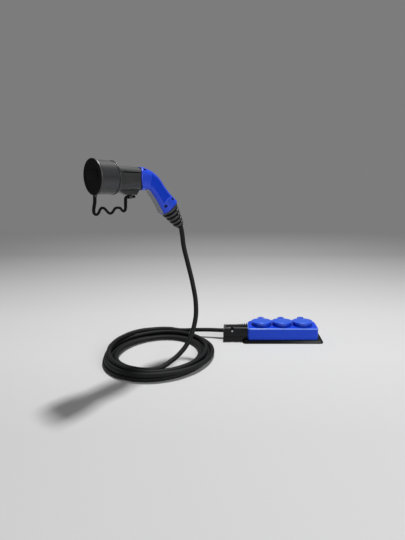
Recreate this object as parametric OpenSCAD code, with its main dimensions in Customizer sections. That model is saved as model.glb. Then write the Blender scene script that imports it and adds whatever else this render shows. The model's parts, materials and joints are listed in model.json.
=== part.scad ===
// Vehicle-to-load adapter lead: a car connector, a coiled cable and a block of three covered outlets.
// The connector's nose points along -X with its face at the origin, and +Z is up. The floor that the coil
// and the outlet block lie on is gun_height below the nose's axis. Millimetres.

/* [Placement] */
// Height of the connector's axis above the floor
gun_height = 420; // [380:5:480]
// Outlet block's middle, along X
block_x = 430; // [380:5:480]
// Outlet block's middle, along Y
block_y = -145; // [-200:5:-100]
// Outlet block's turn about Z, degrees
block_turn = -50; // [-90:1:0]

/* [Connector nose] */
// Diameter of the straight nose
nose_d = 54; // [50:0.5:56]
// Length of the straight nose
nose_len = 38; // [36:1:50]
// Height of the keying flat above the nose's axis
nose_flat_h = 24.5; // [24:0.5:25.5]
// Length of the keying flat from the nose's face
nose_flat_len = 16; // [8:1:18]
// Wall of the nose and barrel
nose_wall = 4; // [2.5:0.25:4.5]
// Length of the seven-way contact insert
insert_len = 33; // [28:1:34]
// Ledge that the insert seats against
insert_ledge = 1.5; // [1:0.25:2]
// Bore of a power contact
power_bore_d = 6.1; // [6:0.1:6.4]
// Bore of a signal contact
signal_bore_d = 3.1; // [3:0.1:3.4]
// Wall of a contact sleeve
sleeve_wall = 1.1; // [0.8:0.1:1.3]
// Length of a contact sleeve
sleeve_len = 32; // [28:1:36]
// Depth of the sleeves' mouths behind the insert's face
sleeve_recess = 5; // [3:0.5:8]
// Distance of the outer power contacts from the axis
power_reach = 15.5; // [14:0.5:16]
// Thickness of the coding board
board_t = 1.6; // [1:0.2:2]

/* [Barrel] */
// Barrel diameter next to the cap
barrel_front_d = 53; // [50:0.5:54]
// Barrel diameter at the collar
barrel_rear_d = 45; // [44:0.5:46.5]
// Barrel length
barrel_len = 57; // [52:1:66]
// Width across the barrel's side flats
barrel_side = 45; // [44:0.5:54]
// Height of the barrel's top flat above the axis
barrel_top = 22.5; // [22:0.5:26]
// Height of the side line above the axis
line_h = 9.5; // [4:0.5:14]
// Depth of the side line
line_depth = 0.9; // [0.3:0.1:1]

/* [Dust cap] */
// Overall length of the cap
cap_len = 42; // [34:1:43]
// Cap diameter behind the flange
cap_d = 63.5; // [62.5:0.5:64.5]
// Flange diameter
cap_flange_d = 68; // [67:0.5:74]
// Flange thickness
cap_flange_t = 5; // [3:0.5:8]
// Front wall
cap_front_t = 5; // [3:0.5:6]
// Side wall
cap_wall = 3.2; // [2.8:0.1:3.6]
// Space between the cap's front wall and the nose
cap_gap = 0.8; // [0.4:0.1:2]
// Width of the plain raised pad on the front
pad_w = 38; // [12:1:40]
// Height of the pad
pad_h = 18; // [10:1:24]
// Width of the nose seal
seal_w = 4; // [2:0.5:6]

/* [Strap] */
// Thickness of the strap
strap_d = 6; // [4:0.5:6.5]
// Length of the lug that holds the strap's tail
lug_len = 7; // [4:0.5:9]
// Wall round the strap's tail
lug_wall = 1.5; // [1.25:0.25:4]

/* [Handle] */
// Length of the collar ring
collar_len = 8; // [7:0.5:10]
// How far the collar's sides reach forward over the barrel
collar_wing = 9; // [4:0.5:12]
// Radius of the handle's bend
bend_r = 38; // [30:1:50]
// Angle that the handle drops below the nose's axis
handle_angle = 52; // [45:1:60]
// Straight length below the bend
grip_len = 57.5; // [52:0.5:80]
// Depth of the handle at the collar
handle_h_front = 45; // [44:0.5:50]
// Depth of the handle half way along
handle_h_mid = 37; // [35:0.5:42]
// Depth of the handle at its end
handle_h_end = 49.5; // [40:0.5:52]
// Width of the handle at the collar
handle_w_front = 43; // [40:0.5:48]
// Width of the handle half way along
handle_w_mid = 34; // [32:0.5:38]
// Width of the handle at its end
handle_w_end = 42; // [36:0.5:46]
// Wall of the handle's shells
shell_t = 2.8; // [2:0.1:3.5]
// Wall at the handle's end
end_wall = 4; // [3:0.5:6]
// Thickness of the soft grip
grip_t = 1.6; // [1:0.2:2.4]
// Depth of the side panels
panel_depth = 0.6; // [0.4:0.1:1.4]
// Diameter of a handle screw
screw_d = 3; // [2.5:0.5:4]

/* [Boot and cable] */
// Cable diameter
cable_d = 11; // [9:0.5:11.5]
// Length of the boot outside the handle
boot_len = 55; // [30:1:60]
// Boot diameter at the handle
boot_d = 45; // [34:0.5:46]
// Boot diameter at the tip
boot_tip_d = 22; // [17:0.5:24]
// Number of ribs
boot_ribs = 5; // [3:1:7]
// Depth of the grooves between the ribs
rib_depth = 2.2; // [1:0.1:2.6]
// Outer diameter of the floor coil
coil_outer_d = 270; // [256:2:290]
// Inner diameter of the floor coil
coil_inner_d = 190; // [160:2:200]
// Height of the floor coil
coil_h = 24; // [20:1:40]

/* [Outlet housing] */
// Number of outlets
outlet_count = 3; // [2:1:3]
// Distance between outlets
outlet_pitch = 56; // [56:0.5:66]
// Distance from the last outlet to the housing's end
outlet_end = 38.5; // [36:0.5:50]
// Outlets' offset from the housing's middle, towards the front
outlet_shift = 1; // [1:0.5:4]
// Depth of the housing, front to back
housing_w = 69; // [68:0.5:74]
// Height of the housing's top face above the floor
housing_top = 39.5; // [38:0.5:46]
// Housing wall
housing_wall = 3; // [2:0.25:4]
// Corner radius of the housing
housing_r = 7; // [5:0.5:9]
// Corner radius of the housing at its back
housing_back_r = 24; // [20:0.5:26]
// Edge rounding of the housing's top
housing_edge = 2.5; // [1:0.25:4]
// Diameter of the collar round each outlet
outlet_collar_d = 49; // [48:0.5:54]
// Height of the collar above the housing
outlet_collar_h = 3.5; // [3:0.5:5]
// Rim of the base plate past the housing's ends
plate_rim_l = 13.5; // [10:0.5:16]
// Rim of the base plate past the housing's front and back
plate_rim_w = 7; // [4:0.5:12]
// Thickness of the base plate
plate_t = 8; // [6:0.5:8.5]

/* [Socket] */
// Diameter of the plug well
well_d = 39; // [39:0.1:40]
// Depth of the plug well
well_depth = 16; // [15.5:0.5:17]
// Outer diameter of the socket insert
socket_d = 45; // [44:0.5:46]
// Rim of the insert over its collar
socket_rim_t = 1.5; // [1:0.25:2.5]
// Thickness of the insert's floor
socket_floor_t = 4; // [3:0.5:5]
// Distance between the two pins
pin_pitch = 19; // [18.6:0.1:19.4]
// Bore of a contact tube
tube_bore_d = 4.9; // [4.9:0.1:5.2]
// Wall of a contact tube
tube_wall = 0.9; // [0.6:0.1:1.2]
// Length of a contact tube
tube_len = 18; // [16:0.5:19]
// Thickness of a busbar
bar_t = 1.5; // [1:0.25:2]
// Width of a busbar
bar_w = 7.5; // [7:0.5:8.5]
// Thickness of an earth clip
clip_t = 0.8; // [0.6:0.1:1.2]
// Width of an earth clip
clip_w = 7; // [5:0.5:7.5]

/* [Lids] */
// Lid diameter
lid_d = 55; // [52:0.5:55.5]
// Height of a lid's rim, half way from its front to its hinge
lid_rim_h = 5.5; // [5:0.5:7]
// Slope of a lid's top down to its hinge, degrees
lid_slope = 5; // [0:0.5:5.5]
// Rise of a lid's dome above its rim
lid_dome = 1.6; // [1:0.2:4]
// Gap under a closed lid
lid_gap = 0.3; // [0.3:0.1:0.6]
// Diameter of a hinge pin
pin_d = 3; // [2.5:0.25:3]
// Diameter of a hinge knuckle
knuckle_d = 6.6; // [6:0.2:7]
// Length of one knuckle
knuckle_len = 3; // [2.5:0.5:4]
// Space between a lid's two knuckles, for the spring
spring_space = 5; // [4.5:0.5:7]
// Depth of the seal's groove in a lid
lid_seal_t = 2; // [1.5:0.25:2.25]

/* [Entry housing] */
// Length of the entry housing
entry_l = 65.5; // [62:0.5:76]
// Depth of its upper half, front to back
entry_w = 54; // [53:0.5:60]
// How far the lower half stands proud of the upper half
entry_step = 1.2; // [0.5:0.1:2]
// Height of the lower half
entry_low_h = 13.5; // [12.5:0.5:16]
// Overall height
entry_h = 40; // [38:0.5:46]
// Bevel of the cable end
entry_bevel = 7; // [4:0.5:9]
// Depth of the flat part of its top
entry_top_w = 24; // [18:0.5:30]
// Drop from the flat top to the back
entry_back_drop = 11; // [4:0.5:12]
// Wall of the entry housing
entry_wall = 3; // [2:0.25:4]
// Height of the cable's axis at the entry
entry_cable_h = 22; // [21:0.5:24]

/* [Hidden] */

$fn = 64;
HULL_FN = 32;
CUT = 1;
FIT = 0.1;
CLEAR = 0.3;
BLACK = "#1d1e20";
GREY = "#38393b";
BLUE = "#1f3fd2";
BRASS = "#b08d4c";
STEEL = "#a9adb2";

// Connector
insert_d = nose_d - 2 * nose_wall;
insert_face = 1;
sleeve_x = insert_face + sleeve_recess;
power_od = power_bore_d + 2 * sleeve_wall;
signal_od = signal_bore_d + 2 * sleeve_wall;
guide_clear = 1.6;
power_places = [[-power_reach, 0], [0, 0], [power_reach, 0]];
spare_places = [[-0.56 * power_reach, -0.86 * power_reach], [0.56 * power_reach, -0.86 * power_reach]];
signal_places = [[-0.48 * power_reach, 0.78 * power_reach], [0.48 * power_reach, 0.78 * power_reach]];
barrel_x = nose_len;
collar_x = barrel_x + barrel_len;
handle_x = collar_x + collar_len;
ledge_d = insert_d - 2 * insert_ledge;
ledge_len = sleeve_x + sleeve_len - insert_len + 4;
cavity_d = barrel_rear_d - 2 * (nose_wall - CUT);
line_w = 2.4;
line_front = 8;
line_back = 8;
board_w = 1.9 * power_reach;
board_h = 1.2 * power_reach;

collar_screw_d = 6.5;
collar_screw_back = 3.6;
collar_screw_len = 3;
collar_screw_turn = 45;
collar_lip = 0.4;
collar_crown = 3;
collar_rise = 1;
collar_reach = handle_h_front / 2 + collar_rise + 0.5;
COLLAR_STEPS = 16;

// Cap
cap_x = -cap_front_t - cap_gap;
cap_inner_d = cap_d - 2 * cap_wall;
cap_edge = 1.2;
cap_bead = 0.9;
cap_bead_w = 3;
pad_t = 0.6;
pad_up = 3;
seal_x = nose_flat_len + 4;
tab_drop = 3;
tab_w = 9;

// Strap: its route hangs from the cap's tab and ends in the lug under the barrel
strap_gap = 0.8;
strap_top = cap_flange_d / 2 + tab_drop + strap_gap;
lug_x = collar_x - 27;
keel_drop = barrel_front_d / 2 + 6;
keel_front = barrel_x + 8;
keel_back = collar_x - 3;
keel_w = 12;
lug_drop = keel_drop + strap_d / 2 + 0.5;
strap_tail = 8;
STRAP_SIDES = 10;
STRAP_STEPS = 5;
strap_route = [[cap_x + 2, -strap_top], [cap_x + 2, -strap_top - 4], [cap_x - 1, -54], [cap_x - 4, -65],
    [cap_x + 2, -70], [6, -58], [12, -57], [23, -69], [29, -66], [37, -58], [48, -58], [55, -66], [60, -60],
    [61, -50], [61.3, -43], [lug_x - 3.5, -lug_drop], [lug_x + 1, -lug_drop],
    [lug_x + lug_len + strap_tail, -lug_drop]];

// Handle: its middle line runs straight on from the collar, bends, and drops straight
bend_len = bend_r * handle_angle * PI / 180;
handle_len = bend_len + grip_len;
OVAL_SIDES = 28;
OVAL_POWER = 2.6;
RING_GAP = 6;
grip_from = 14;
grip_to = handle_len - 3;
GRIP_FIRST = 12;
GRIP_LAST = 16;
panel_from = 24;
panel_to = handle_len - 22;
panel_half = 10;
boss_d = screw_d + 5;
screw_head_d = 2 * screw_d;
screw_head_t = 0.8 * screw_d;
screw_len = 22;
screw_seat = 4;
screw_places = [[handle_len - 14, -12.5], [handle_len - 14, 12.5]];
clamp_from = bend_len + 12;
clamp_len = 12;
cable_in = clamp_from - 4;
wire_d = 3;
wire_pitch = 3.3;
WIRE_SIDES = 8;

// Boot
boot_bore_d = cable_d + 2 * FIT;
neck_d = cable_d + 6;
boot_flange_d = neck_d + 5;
boot_flange_t = 3;
boot_seat = end_wall + FIT;

// Cable: the hanging stretch, then the coil, then the lead to the outlet block
CORD_SIDES = 10;
CORD_STEPS = 3;
coil_x = 144;
coil_y = 20;
hang_route = [[205, 0, -108.5], [207, 0, -118], [208, -1, -130], [208.5, -3, -150], [210, -16, -197],
    [209, -32, -244], [203, -47, -290], [191, -55, -327], [165, -58, -369], [141, -57, -388],
    [113, -54, -400], [88, -52, -405], [68, -45, -406]];
lead_route = [[241, 102, -404], [259, 80, -403], [282, 48, -401], [305, 13, -399]];

// Outlet block
housing_l = outlet_pitch * (outlet_count - 1) + 2 * outlet_end;
plate_l = housing_l + 2 * plate_rim_l;
plate_w = housing_w + 2 * plate_rim_w;
plate_r = housing_r + 2;
plate_slope = 3;
plate_base_t = 3;
SLICE = 0.01;
outlets = [for (i = [0:outlet_count - 1]) [(i - (outlet_count - 1) / 2) * outlet_pitch, -outlet_shift]];
collar_top = housing_top + outlet_collar_h;
rim_top = collar_top + socket_rim_t;
rim_d = outlet_collar_d - 3;
well_floor = rim_top - well_depth;
socket_bottom = well_floor - socket_floor_t;
tube_od = tube_bore_d + 2 * tube_wall;
tube_top = well_floor - 1;
tube_bottom = tube_top - tube_len;
bar_z = tube_bottom + 2;
bar_hole_d = tube_od + 2 * FIT;
boss_bottom = bar_z + bar_t + 1;
tube_boss_d = tube_od + 3.4;
clip_r = well_d / 2 - 0.4;
clip_top = rim_top - 5;
clip_bulge = 1;
clip_bulge_h = 6;
corner_boss_d = 9;
base_screw_d = 3.4;
base_screw_inset = 9;
base_screw_seat = 3;
base_head_t = 2.4;
back_screw_inset = 13;
base_screw_places = [for (x = [-1, 1], y = [-1, 1]) let (inset = y > 0 ? back_screw_inset : base_screw_inset)
    [x * (housing_l / 2 - inset), y * (housing_w / 2 - inset)]];
base_screw_len = 18;
window_w = 36;
window_h = 6;

// Lids, hinged behind their outlets
lid_z = rim_top + lid_gap;
lid_edge = 1.2;
lid_cup_d = lid_d - 6;
lid_base_h = 1.2;
lid_taper = 1.5;
lid_arm_t = 2.4;
lid_seal_w = 2.4;
hinge_back = lid_d / 2 + knuckle_d / 2 + 0.7;
hinge_z = lid_z + 1;
lug_gap = 0.4;
lug_t = 2.5;
lug_d = knuckle_d + 0.6;
PIN_RUN = 0.06;
lid_tab_w = 11;
lid_tab = 2;
spring_wire = 0.9;
spring_turns = 3;
spring_r = pin_d / 2 + 0.25 + spring_wire / 2;
hood_t = 1.5;
SPRING_STEPS = 10;
SPRING_SIDES = 6;
pin_len = spring_space + 2 * (knuckle_len + lug_gap + lug_t);

// Entry housing
entry_left = -housing_l / 2 - entry_l;
entry_right = -housing_l / 2;
entry_screw_places = [for (x = [entry_left + 8, entry_left + 46], y = [-1, 1]) [x, y * (entry_w / 2 - 6)]];
entry_screw_d = 3;
entry_screw_len = 20;
entry_screw_seat = 3;
entry_head_t = 2.4;
entry_boss_d = 8;
entry_edge = 2;
ridge_count = 6;
ridge_pitch = 5;
ridge_h = 4;
ridge_from = 7;
slot_x = entry_left + 24;
slot_w = 8;
slot_h = 15;
slot_depth = 2.2;
slot_z = 29.5;
side_boss_len = 11;
side_head_t = 1.6;
side_screw_len = 8;
clamp_x = entry_left + 8;
clamp_w = 24;
clamp_cap = 2.5;
block_from = entry_left + 28;
block_len = 13;
block_w = pin_pitch + 8;
block_floor = 2;
terminal_head_t = 2;
terminal_screw_len = 5;
bar_left = block_from + 2;

function unit(v) = v / norm(v);
function tangent(p, i) = unit(p[min(i + 1, len(p) - 1)] - p[max(i - 1, 0)]);
function bend(a, b, c, d, t) =
    0.5 * (2 * b + (c - a) * t + (2 * a - 5 * b + 4 * c - d) * t * t + (3 * b - a - 3 * c + d) * t * t * t);
// A smooth curve through every point of a route
function curve(p, steps) = concat(
    [for (i = [0:len(p) - 2], s = [0:steps - 1])
        bend(p[max(i - 1, 0)], p[i], p[i + 1], p[min(i + 2, len(p) - 1)], s / steps)],
    [p[len(p) - 1]]);
function circle_rings(path, d, side, n) = [for (i = [0:len(path) - 1])
    let (t = tangent(path, i), a = unit(cross(side, t)), b = cross(a, t))
    [for (k = [0:n - 1]) path[i] + d / 2 * (cos(360 * k / n) * a + sin(360 * k / n) * b)]];
// Value that runs through three given ones at the start, the middle and the end
function through(front, mid, end, u) =
    front * (1 - u) * (1 - 2 * u) + mid * 4 * u * (1 - u) + end * u * (2 * u - 1);
function spine_angle(d) = d <= 0 ? 0 : d < bend_len ? d / bend_r * 180 / PI : handle_angle;
function spine_pos(d) = let (a = spine_angle(d), past = d < 0 ? d : max(d - bend_len, 0))
    [handle_x + bend_r * sin(a) + past * cos(a), 0, -bend_r * (1 - cos(a)) - past * sin(a)];
function spine_up(d) = [sin(spine_angle(d)), 0, cos(spine_angle(d))];
function spine_share(d) = min(max(d / handle_len, 0), 1);
function handle_h(d) = through(handle_h_front, handle_h_mid, handle_h_end, spine_share(d));
function handle_w(d) = through(handle_w_front, handle_w_mid, handle_w_end, spine_share(d));
function rounded(v) = sign(v) * pow(abs(v), 2 / OVAL_POWER);
function oval(h, w, k) = let (a = 360 * k / OVAL_SIDES) [h / 2 * rounded(cos(a)), w / 2 * rounded(sin(a))];
function on_spine(d, p) = spine_pos(d) + p[0] * spine_up(d) + [0, p[1], 0];
function handle_ring(d, rise, widen) = [for (k = [0:OVAL_SIDES - 1])
    on_spine(d, oval(handle_h(d) + 2 * rise, handle_w(d) + 2 * widen, k))];
function boot_r(z) = boot_d / 2 + (boot_tip_d - boot_d) / 2 * z / boot_len;
function stations(from, to) = let (n = ceil((to - from) / RING_GAP))
    [for (i = [0:n]) from + (to - from) * i / n];

// A solid through a row of rings that all have the same number of points
module loft(rings) {
    n = len(rings[0]);
    m = len(rings);
    sides = [for (i = [0:m - 2], j = [0:n - 1], half = [0, 1])
        let (a = i * n + j, b = i * n + (j + 1) % n)
        half == 0 ? [a, b, b + n] : [a, b + n, a + n]];
    first = [for (j = [n - 1:-1:0]) j];
    last = [for (j = [0:n - 1]) (m - 1) * n + j];
    polyhedron(points = [for (r = rings) each r], faces = concat([first], sides, [last]));
}

module tube(path, d, side, n) loft(circle_rings(path, d, side, n));

module along_x(x) translate([x, 0, 0]) rotate([0, 90, 0]) children();

// Places a child on the handle's middle line with +Z along it
module at_spine(d) translate(spine_pos(d)) rotate([0, 90 + spine_angle(d), 0]) children();

module handle_solid(from, to, grow) loft([for (d = stations(from, to)) handle_ring(d, grow, grow)]);

module rounded_rect(l, w, r) {
    square([l - 2 * r, w], center = true);
    square([l, w - 2 * r], center = true);
    for (x = [-1, 1], y = [-1, 1]) translate([x * (l / 2 - r), y * (w / 2 - r)]) circle(r);
}

// Puts children on the four corners of a block, each told its corner's radius
module at_corners(l, w, r, back_r) for (x = [-1, 1], y = [-1, 1]) {
    $corner_r = y > 0 ? back_r : r;
    translate([x * (l / 2 - $corner_r), y * (w / 2 - $corner_r), 0]) children();
}

// A block with round upright corners, wider ones at its back, and a rounded top edge
module soft_block(l, w, h, r, back_r, edge) hull() at_corners(l, w, r, back_r) {
    cylinder(r = $corner_r, h = h - edge, $fn = HULL_FN);
    translate([0, 0, h - edge]) rotate_extrude($fn = HULL_FN)
        translate([$corner_r - edge, 0]) circle(edge, $fn = HULL_FN);
}

module ring(outer_d, inner_d, h) difference() {
    cylinder(d = outer_d, h = h);
    translate([0, 0, -CUT]) cylinder(d = inner_d, h = h + 2 * CUT);
}

// Puts children on the contacts' places, drawn along the nose
module contacts_at(places, x) for (p = places) translate([x, p[0], p[1]]) rotate([0, 90, 0]) children();

module on_floor() translate([block_x, block_y, -gun_height]) rotate(block_turn) children();

module at_outlets() for (o = outlets) translate([o[0], o[1], 0]) children();

// A screw with its head's underside at z = 0 and its shank below
module screw(d, head_d, head_t, length) {
    cylinder(d = head_d, h = head_t);
    translate([0, 0, -length]) cylinder(d = d, h = length);
}

module barrel_blank(grow) intersection() {
    along_x(barrel_x) cylinder(d1 = barrel_front_d + 2 * grow, d2 = barrel_rear_d + 2 * grow, h = barrel_len);
    translate([barrel_x, -barrel_side / 2 - grow, -nose_d])
        cube([barrel_len, barrel_side + 2 * grow, nose_d + barrel_top + grow]);
}

module strap_lug() {
    lug_w = strap_d + 2 * lug_wall;
    along_x(lug_x) translate([lug_drop, 0, 0]) cylinder(d = lug_w, h = lug_len);
    translate([0, keel_w / 2, 0]) rotate([90, 0, 0]) linear_extrude(keel_w) polygon([
        [keel_front, -cavity_d / 2 - CUT], [keel_front, -barrel_front_d / 2 + CUT],
        [lug_x - lug_len, -keel_drop], [keel_back - lug_len, -keel_drop],
        [keel_back, -barrel_rear_d / 2], [keel_back, -cavity_d / 2 - CUT]]);
}

module nose_housing() color(GREY) difference() {
    union() {
        difference() {
            along_x(0) cylinder(d = nose_d, h = nose_len);
            translate([-CUT, -nose_d / 2, nose_flat_h]) cube([nose_flat_len + CUT, nose_d, nose_d]);
        }
        barrel_blank(0);
        strap_lug();
    }
    along_x(-CUT) cylinder(d = insert_d, h = insert_len + CUT);
    along_x(insert_len - CUT) cylinder(d = ledge_d, h = ledge_len + CUT);
    along_x(insert_len) cylinder(d = cavity_d, h = collar_x - insert_len + CUT);
    along_x(lug_x - CUT) translate([lug_drop, 0, 0]) cylinder(d = strap_d + 2 * CLEAR, h = lug_len + 2 * CUT);
    difference() {
        translate([barrel_x + line_front, -barrel_side, line_h])
            cube([barrel_len - line_front - line_back, 2 * barrel_side, line_w]);
        barrel_blank(-line_depth);
    }
}

module contact_insert() color(BLACK) difference() {
    along_x(insert_face) cylinder(d = insert_d - 2 * FIT, h = insert_len - insert_face);
    contacts_at(concat(power_places, spare_places), 0)
        cylinder(d = power_bore_d + guide_clear, h = insert_len + CUT);
    contacts_at(signal_places, 0) cylinder(d = signal_bore_d + guide_clear, h = insert_len + CUT);
    contacts_at(power_places, sleeve_x) cylinder(d = power_od + 2 * FIT, h = insert_len);
    contacts_at(signal_places, sleeve_x) cylinder(d = signal_od + 2 * FIT, h = insert_len);
}

module power_contacts() color(BRASS) contacts_at(power_places, sleeve_x)
    ring(power_od, power_bore_d, sleeve_len);

module signal_contacts() color(BRASS) contacts_at(signal_places, sleeve_x)
    ring(signal_od, signal_bore_d, sleeve_len);

module coding_board() color("#2c6b45") difference() {
    translate([insert_len, -board_w / 2, -0.25 * power_reach]) cube([board_t, board_w, board_h]);
    contacts_at(power_places, insert_len - CUT) cylinder(d = power_od + 2 * CLEAR, h = board_t + 2 * CUT);
    contacts_at(signal_places, insert_len - CUT) cylinder(d = signal_od + 2 * FIT, h = board_t + 2 * CUT);
}

module nose_seal() color(BLACK) along_x(seal_x) ring(cap_inner_d - 2 * CLEAR, nose_d + FIT, seal_w);

module dust_cap() color(GREY) {
    along_x(cap_x) rotate_extrude() polygon([
        [0, 0], [cap_flange_d / 2 - cap_edge, 0], [cap_flange_d / 2, cap_edge],
        [cap_flange_d / 2, cap_flange_t - cap_edge], [cap_flange_d / 2 - cap_edge, cap_flange_t],
        [cap_d / 2, cap_flange_t], [cap_d / 2, cap_len - cap_bead_w],
        [cap_d / 2 + cap_bead, cap_len - cap_bead_w + 1], [cap_d / 2 + cap_bead, cap_len - cap_edge],
        [cap_d / 2, cap_len], [cap_inner_d / 2, cap_len], [cap_inner_d / 2, cap_front_t], [0, cap_front_t]]);
    translate([cap_x - pad_t, -pad_w / 2, pad_up - pad_h / 2]) cube([2 * pad_t, pad_w, pad_h]);
    translate([cap_x, -tab_w / 2, -cap_flange_d / 2 - tab_drop]) cube([cap_flange_t, tab_w, tab_drop + 2]);
}

module cap_strap() color(GREY)
    tube(curve([for (p = strap_route) [p[0], 0, p[1]]], STRAP_STEPS), strap_d, [0, 1, 0], STRAP_SIDES);

// The collar's front edge from the side: level with the barrel's end above and below, and forward between
module collar_front() polygon(concat(
    [for (i = [0:COLLAR_STEPS]) let (s = 2 * i / COLLAR_STEPS - 1)
        [collar_x - collar_wing * (1 - s * s), s * collar_reach]],
    [[handle_x + CUT, collar_reach], [handle_x + CUT, -collar_reach]]));

module collar_ring() color(BLUE) difference() {
    intersection() {
        loft([
            handle_ring(-collar_len - collar_wing, collar_rise, collar_crown),
            handle_ring(-collar_len / 2, collar_rise, collar_crown),
            handle_ring(0, collar_lip, collar_lip)]);
        translate([0, handle_w_front, 0]) rotate([90, 0, 0])
            linear_extrude(2 * handle_w_front) collar_front();
    }
    barrel_blank(FIT);
    along_x(collar_x - CUT) cylinder(d = cavity_d, h = collar_len + 2 * CUT);
    at_collar_screw() cylinder(d = collar_screw_d + 2 * FIT, h = handle_h_front);
}

// The grub screw through the collar's upper right side, drawn outwards from the cavity's wall
module at_collar_screw() translate([collar_x + collar_screw_back, 0, 0]) rotate([collar_screw_turn, 0, 0])
    translate([0, 0, cavity_d / 2 - CUT]) children();

module collar_screw() color(STEEL) at_collar_screw()
    translate([0, 0, CUT]) cylinder(d = collar_screw_d, h = collar_screw_len);

module panel_cut(side) {
    edge = [for (d = stations(panel_from, panel_to)) on_spine(d, [panel_half, 0])];
    back = [for (d = stations(panel_from, panel_to)) on_spine(d, [-panel_half, 0])];
    n = len(back);
    depth = handle_w_mid / 2 - panel_depth;
    translate([0, side * (depth + 5), 0]) rotate([90, 0, 0]) linear_extrude(10, center = true)
        polygon([for (p = concat(edge, [for (i = [n - 1:-1:0]) back[i]])) [p[0], p[2]]]);
}

// Puts children on the handle's screw places, with +Z towards the right-hand shell's outside
module at_screws(y) for (s = screw_places) translate(on_spine(s[0], [s[1], y])) rotate([90, 0, 0]) children();

module handle_shell(side) difference() {
    intersection() {
        union() {
            difference() {
                handle_solid(0, handle_len, 0);
                handle_solid(-CUT, handle_len - end_wall, -shell_t);
            }
            intersection() {
                handle_solid(0, handle_len, 0);
                at_screws(0) cylinder(d = boss_d, h = 2 * handle_w_front, center = true);
            }
        }
        translate([0, side > 0 ? 0 : -handle_w_front, -2 * handle_len])
            cube([handle_x + 2 * handle_len, handle_w_front, 4 * handle_len]);
    }
    panel_cut(side);
    at_spine(handle_len - end_wall - CUT) cylinder(d = neck_d + 2 * FIT, h = end_wall + 2 * CUT);
    at_screws(0) cylinder(d = screw_d + 2 * FIT, h = 2 * (screw_len - handle_w_mid / 2 + 8), center = true);
    at_screws(-handle_w_mid / 2 + screw_seat) cylinder(d = screw_head_d + 2 * CLEAR, h = handle_w_front);
}

module handle_left() color(BLUE) handle_shell(1);

module handle_right() color(BLUE) handle_shell(-1);

module grip_inlay() color(GREY) loft([for (d = stations(grip_from, grip_to)) concat(
    [for (k = [GRIP_FIRST:GRIP_LAST])
        on_spine(d, oval(handle_h(d) + 2 * grip_t, handle_w(d) + 2 * grip_t, k))],
    [for (k = [GRIP_LAST:-1:GRIP_FIRST])
        on_spine(d, oval(handle_h(d) + 2 * FIT, handle_w(d) + 2 * FIT, k))])]);

module handle_screws() color(STEEL) at_screws(-handle_w_mid / 2 + screw_seat)
    screw(screw_d, screw_head_d, screw_head_t, screw_len);

module gun_cable_clamp() color(BLACK) difference() {
    intersection() {
        handle_solid(clamp_from - CUT, clamp_from + clamp_len + CUT, -shell_t - CLEAR);
        at_spine(clamp_from) translate([-handle_h_end, -handle_w_end, 0])
            cube([2 * handle_h_end, 2 * handle_w_end, clamp_len]);
    }
    at_spine(clamp_from - CUT) cylinder(d = cable_d + 2 * FIT, h = clamp_len + 2 * CUT);
}

module core_wires() color("#7a4a2a") for (i = [0:2]) {
    from = power_places[i][0];
    start = sleeve_x + sleeve_len + CLEAR;
    tube(concat(
        [[start, from, 0], [start + 6, from, 0]],
        [for (d = stations(-RING_GAP, cable_in - CLEAR)) on_spine(d, [0, (i - 1) * wire_pitch])]),
        wire_d, [0, 0.2, 1], WIRE_SIDES);
}

module cable_boot() color(BLACK) at_spine(handle_len) {
    pitch = boot_len / boot_ribs;
    rotate_extrude() polygon(concat(
        [[boot_bore_d / 2, -boot_seat - boot_flange_t], [boot_flange_d / 2, -boot_seat - boot_flange_t],
            [boot_flange_d / 2, -boot_seat], [neck_d / 2, -boot_seat], [neck_d / 2, 0]],
        [for (i = [0:boot_ribs - 1], p = [[0, 0], [0.6, 0], [0.65, rib_depth], [0.95, rib_depth]])
            [boot_r((i + p[0]) * pitch) - p[1], (i + p[0]) * pitch]],
        [[boot_bore_d / 2, boot_len]]));
}

module cord_hang() color(BLACK) tube(
    concat([spine_pos(cable_in), spine_pos(handle_len)], [spine_pos(handle_len + boot_len)],
        curve(hang_route, CORD_STEPS)), cable_d, [0, 1, 0], CORD_SIDES);

module cord_coil() color(BLACK) translate([coil_x, coil_y, -gun_height]) rotate_extrude() {
    width = (coil_outer_d - coil_inner_d) / 2;
    round = cable_d / 2;
    translate([(coil_outer_d + coil_inner_d) / 4, coil_h / 2]) rounded_rect(width, coil_h, round);
}

module cord_lead() color(BLACK) {
    turn = [cos(block_turn), sin(block_turn), 0];
    entry = [block_x, block_y, entry_cable_h - gun_height] + entry_left * turn;
    inside = clamp_x - entry_left + clamp_len + 2;
    tube(concat(curve(concat(lead_route, [entry - 3 * turn]), CORD_STEPS), [entry + inside * turn]),
        cable_d, [0, 0, 1], CORD_SIDES);
}

module base_plate() color(BLACK) on_floor() difference() {
    union() {
        linear_extrude(plate_base_t) rounded_rect(plate_l, plate_w, plate_r);
        hull() {
            translate([0, 0, plate_base_t]) linear_extrude(SLICE)
                rounded_rect(plate_l, plate_w, plate_r, $fn = HULL_FN);
            translate([0, 0, plate_t - SLICE]) linear_extrude(SLICE)
                rounded_rect(plate_l - 2 * plate_slope, plate_w - 2 * plate_slope, plate_r, $fn = HULL_FN);
        }
    }
    for (p = base_screw_places) translate([p[0], p[1], -CUT]) {
        cylinder(d = base_screw_d + 2 * FIT, h = plate_t + 2 * CUT);
        cylinder(d = 2 * base_screw_d + 2 * FIT, h = base_screw_seat + CUT);
    }
}

module base_screws() color(STEEL) on_floor() for (p = base_screw_places)
    translate([p[0], p[1], base_screw_seat]) mirror([0, 0, 1])
        screw(base_screw_d, 2 * base_screw_d, base_head_t, base_screw_len);

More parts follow.
